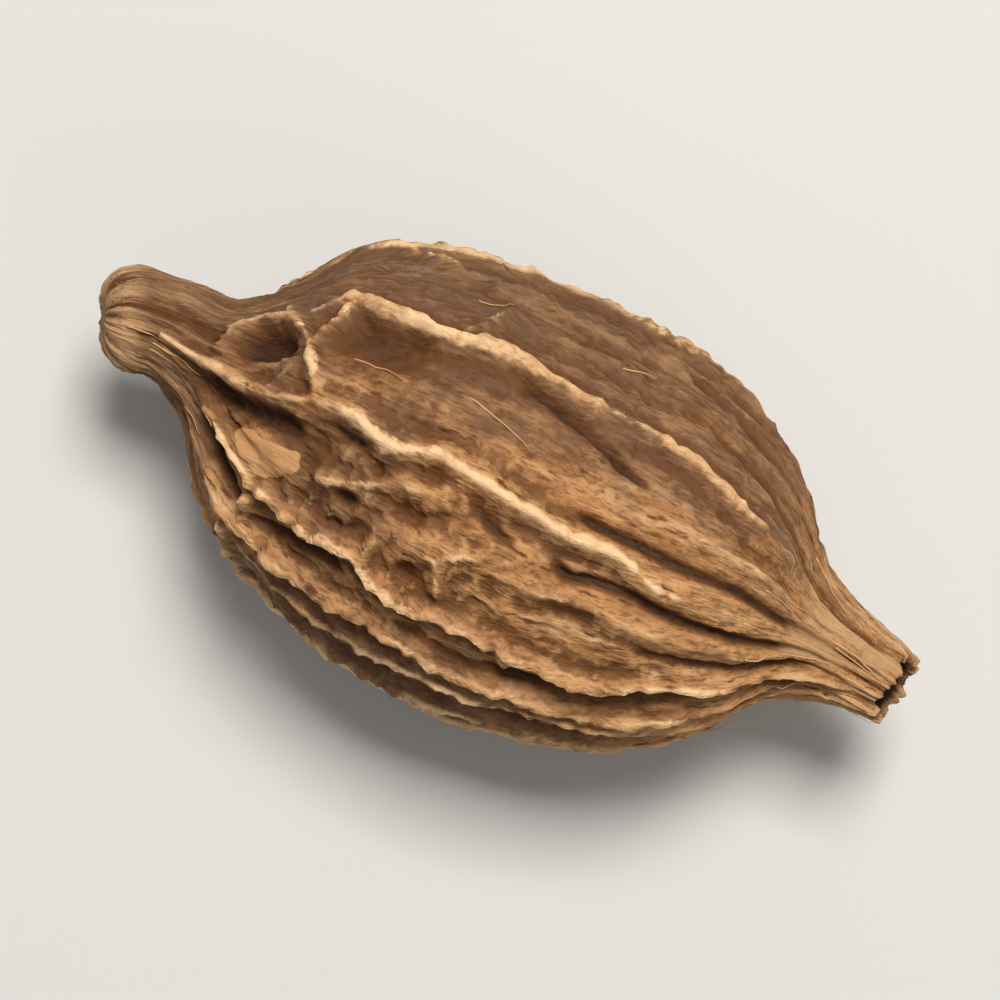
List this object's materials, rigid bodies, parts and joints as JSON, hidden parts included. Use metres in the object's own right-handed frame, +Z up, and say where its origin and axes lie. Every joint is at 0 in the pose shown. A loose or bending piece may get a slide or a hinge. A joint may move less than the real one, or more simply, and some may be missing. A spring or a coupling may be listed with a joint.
{
  "type": "black cardamom pod",
  "caption": "Dried spindle-shaped spice pod lying on its side, with wavy raised ribs, a blunt stalk knob at one end and a short open flower tube at the other.",
  "frame": {"origin": "centre of the bounding box on the surface that the pod lies on", "axes": "+X runs along the pod from its stalk knob to its flower tube, +Y is across it, and +Z is up"},
  "size_m": [0.0302, 0.0152, 0.0142],
  "materials": {
    "husk": "dull dried papery husk"
  },
  "bodies": {
    "root": {"pod": "husk"}
  },
  "joints": []
}
